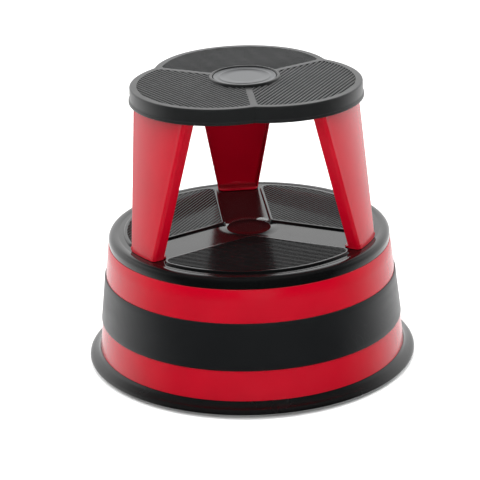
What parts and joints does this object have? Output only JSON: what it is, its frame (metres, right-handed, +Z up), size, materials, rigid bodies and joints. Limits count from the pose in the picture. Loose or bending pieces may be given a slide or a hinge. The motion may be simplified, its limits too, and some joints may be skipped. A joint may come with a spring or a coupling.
{
  "type": "rolling kick step stool",
  "caption": "Round rolling step stool: three-lobed ribbed top step on pressed legs, a round lower step on a conical drum with bumper band, sprung casters and floor ring.",
  "frame": {"origin": "on the floor under the stool's axis, where the caster wheels stand", "axes": "+Z up; +Y towards the rear leg; the notch between the two front lobes of the top step faces -Y"},
  "size_m": [0.414, 0.414, 0.3665],
  "materials": {
    "red_paint": "gloss enamel",
    "black_moulding": "satin gloss moulding",
    "band_vinyl": "satin",
    "black_rubber": "satin",
    "galvanised_steel": "dull zinc",
    "zinc_plate": "bright zinc",
    "caster_tread": "satin",
    "badge_plate": "satin"
  },
  "bodies": {
    "stool": {"base_shell": "red_paint", "bumper_band": "band_vinyl", "floor_ring": "black_rubber", "deck_plate": "galvanised_steel", "lower_step": "black_moulding", "top_pan": "galvanised_steel", "top_step": "black_moulding", "centre_badge": "badge_plate", "leg_rear": "red_paint", "leg_front_left": "red_paint", "leg_front_right": "red_paint", "foot_stud_rear_a": "zinc_plate", "foot_nut_rear_a": "zinc_plate", "leg_rivet_rear_a": "zinc_plate", "foot_stud_rear_b": "zinc_plate", "foot_nut_rear_b": "zinc_plate", "leg_rivet_rear_b": "zinc_plate", "foot_stud_front_left_a": "zinc_plate", "foot_nut_front_left_a": "zinc_plate", "leg_rivet_front_left_a": "zinc_plate", "foot_stud_front_left_b": "zinc_plate", "foot_nut_front_left_b": "zinc_plate", "leg_rivet_front_left_b": "zinc_plate", "foot_stud_front_right_a": "zinc_plate", "foot_nut_front_right_a": "zinc_plate", "leg_rivet_front_right_a": "zinc_plate", "foot_stud_front_right_b": "zinc_plate", "foot_nut_front_right_b": "zinc_plate", "leg_rivet_front_right_b": "zinc_plate", "caster_rear_bracket": "galvanised_steel", "caster_rear_spring": "zinc_plate", "caster_front_left_bracket": "galvanised_steel", "caster_front_left_spring": "zinc_plate", "caster_front_right_bracket": "galvanised_steel", "caster_front_right_spring": "zinc_plate"},
    "caster_rear_plunger": {"caster_rear_stem": "zinc_plate", "caster_rear_clip": "zinc_plate"},
    "caster_rear_swivel_fork": {"caster_rear_washer": "zinc_plate", "caster_rear_fork": "zinc_plate", "caster_rear_axle": "zinc_plate"},
    "caster_rear_roller": {"caster_rear_wheel": "caster_tread"},
    "caster_front_left_plunger": {"caster_front_left_stem": "zinc_plate", "caster_front_left_clip": "zinc_plate"},
    "caster_front_left_swivel_fork": {"caster_front_left_washer": "zinc_plate", "caster_front_left_fork": "zinc_plate", "caster_front_left_axle": "zinc_plate"},
    "caster_front_left_roller": {"caster_front_left_wheel": "caster_tread"},
    "caster_front_right_plunger": {"caster_front_right_stem": "zinc_plate", "caster_front_right_clip": "zinc_plate"},
    "caster_front_right_swivel_fork": {"caster_front_right_washer": "zinc_plate", "caster_front_right_fork": "zinc_plate", "caster_front_right_axle": "zinc_plate"},
    "caster_front_right_roller": {"caster_front_right_wheel": "caster_tread"}
  },
  "joints": [
    {"name": "caster_rear_travel", "type": "slide", "parent": "stool", "child": "caster_rear_plunger", "axis": [0, 0, 1], "range_m": [0, 0.0045], "stiffness_N_per_m": 12000, "springref_m": -0.0035, "deforming": ["caster_rear_spring"]},
    {"name": "caster_rear_swivel", "type": "hinge", "parent": "caster_rear_plunger", "child": "caster_rear_swivel_fork", "pos_m": [0, 0.16, 0.036], "axis": [0, 0, 1], "continuous": true},
    {"name": "caster_rear_roll", "type": "hinge", "parent": "caster_rear_swivel_fork", "child": "caster_rear_roller", "pos_m": [0.01, 0.16, 0.016], "axis": [0, 1, 0], "continuous": true},
    {"name": "caster_front_left_travel", "type": "slide", "parent": "stool", "child": "caster_front_left_plunger", "axis": [0, 0, 1], "range_m": [0, 0.0045], "stiffness_N_per_m": 12000, "springref_m": -0.0035, "deforming": ["caster_front_left_spring"]},
    {"name": "caster_front_left_swivel", "type": "hinge", "parent": "caster_front_left_plunger", "child": "caster_front_left_swivel_fork", "pos_m": [-0.13856, -0.08, 0.036], "axis": [0, 0, 1], "continuous": true},
    {"name": "caster_front_left_roll", "type": "hinge", "parent": "caster_front_left_swivel_fork", "child": "caster_front_left_roller", "pos_m": [-0.14356, -0.07134, 0.016], "axis": [-0.866, -0.5, 0], "continuous": true},
    {"name": "caster_front_right_travel", "type": "slide", "parent": "stool", "child": "caster_front_right_plunger", "axis": [0, 0, 1], "range_m": [0, 0.0045], "stiffness_N_per_m": 12000, "springref_m": -0.0035, "deforming": ["caster_front_right_spring"]},
    {"name": "caster_front_right_swivel", "type": "hinge", "parent": "caster_front_right_plunger", "child": "caster_front_right_swivel_fork", "pos_m": [0.13856, -0.08, 0.036], "axis": [0, 0, 1], "continuous": true},
    {"name": "caster_front_right_roll", "type": "hinge", "parent": "caster_front_right_swivel_fork", "child": "caster_front_right_roller", "pos_m": [0.13356, -0.08866, 0.016], "axis": [0.866, -0.5, 0], "continuous": true}
  ]
}
